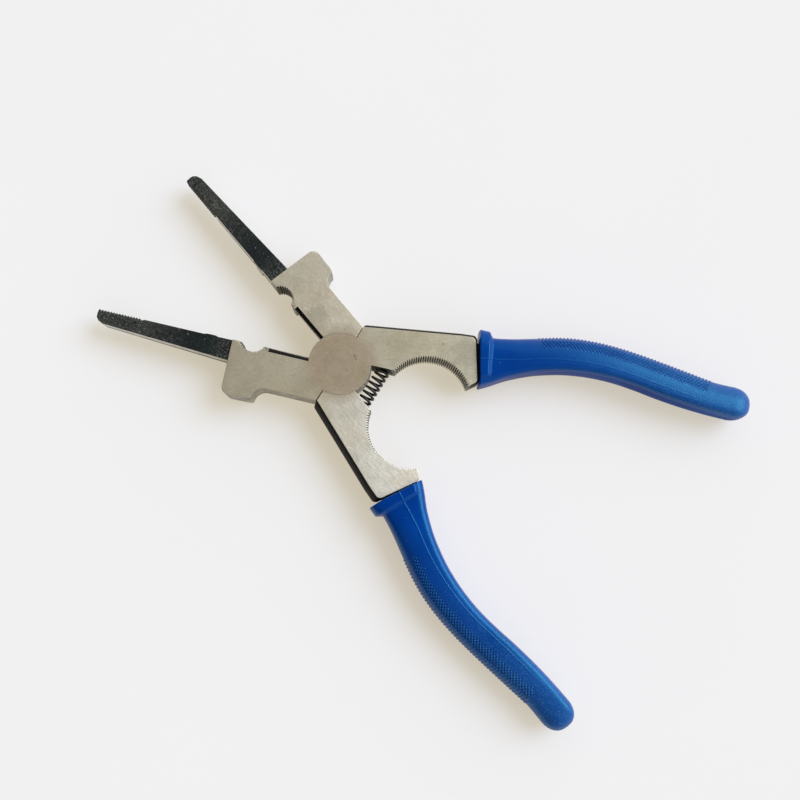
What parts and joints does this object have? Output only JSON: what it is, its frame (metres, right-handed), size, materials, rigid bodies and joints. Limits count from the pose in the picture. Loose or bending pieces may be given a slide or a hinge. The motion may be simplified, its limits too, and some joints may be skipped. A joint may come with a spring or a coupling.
{
  "type": "welding pliers",
  "caption": "Spring-opened welding pliers with long serrated noses, wire cutter, tip notch, hammer bosses, toothed nozzle arcs and moulded grips.",
  "frame": {"origin": "where the pivot axis meets the back ground face of the head", "axes": "+X along the centreline from the joint to the noses, +Y to the side of the front half's jaw, +Z along the pivot axis out of the front face"},
  "size_m": [0.1914, 0.1216, 0.0138],
  "materials": {
    "forged_steel": "ground faces over dark forging scale",
    "rivet_steel": "ground flush with the head",
    "spring_steel": "black oxide",
    "grip_plastic": "satin, knurled on the outer side"
  },
  "bodies": {
    "back_half": {"back_half": "forged_steel", "pivot_rivet": "rivet_steel", "return_spring": "spring_steel", "back_grip": "grip_plastic"},
    "front_half": {"front_half": "forged_steel", "front_grip": "grip_plastic"}
  },
  "joints": [
    {"name": "pivot", "type": "hinge", "parent": "back_half", "child": "front_half", "pos_m": [0, 0, 0.005], "axis": [0, 0, 1], "range_deg": [-36.8, 0], "stiffness_Nm_per_rad": 0.23, "springref_deg": 8.59, "deforming": ["return_spring"]}
  ]
}
